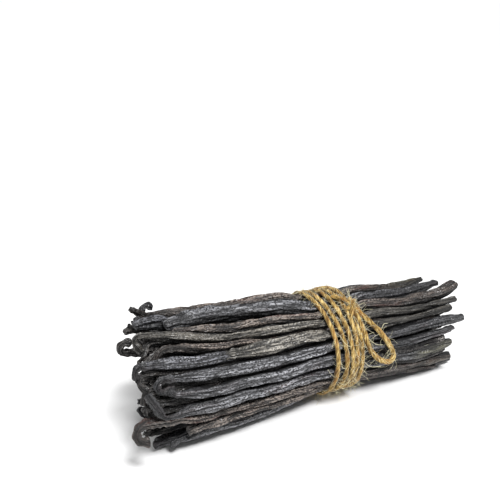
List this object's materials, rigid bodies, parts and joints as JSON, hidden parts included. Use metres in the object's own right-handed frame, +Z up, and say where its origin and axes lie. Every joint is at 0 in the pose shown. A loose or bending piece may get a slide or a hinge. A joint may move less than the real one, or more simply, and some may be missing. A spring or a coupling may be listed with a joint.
{
  "type": "vanilla pod bundle",
  "caption": "Bundle of cured vanilla pods lying on its side, hooked stems flared at one end and tapered tips at the other, tied round the middle with jute twine knotted in a single bow loop.",
  "frame": {"origin": "centre of the bounding box in plan, at the height of the surface the bundle lies on", "axes": "+X along the pods toward their blossom tips, the hooked stems at -X; +Z up; +Y toward the back, away from the bow loop"},
  "size_m": [0.181, 0.0585, 0.0643],
  "materials": {
    "cured_pod": "oily satin",
    "jute": "matte"
  },
  "bodies": {
    "root": {"pods": "cured_pod", "twine": "jute"}
  },
  "joints": []
}
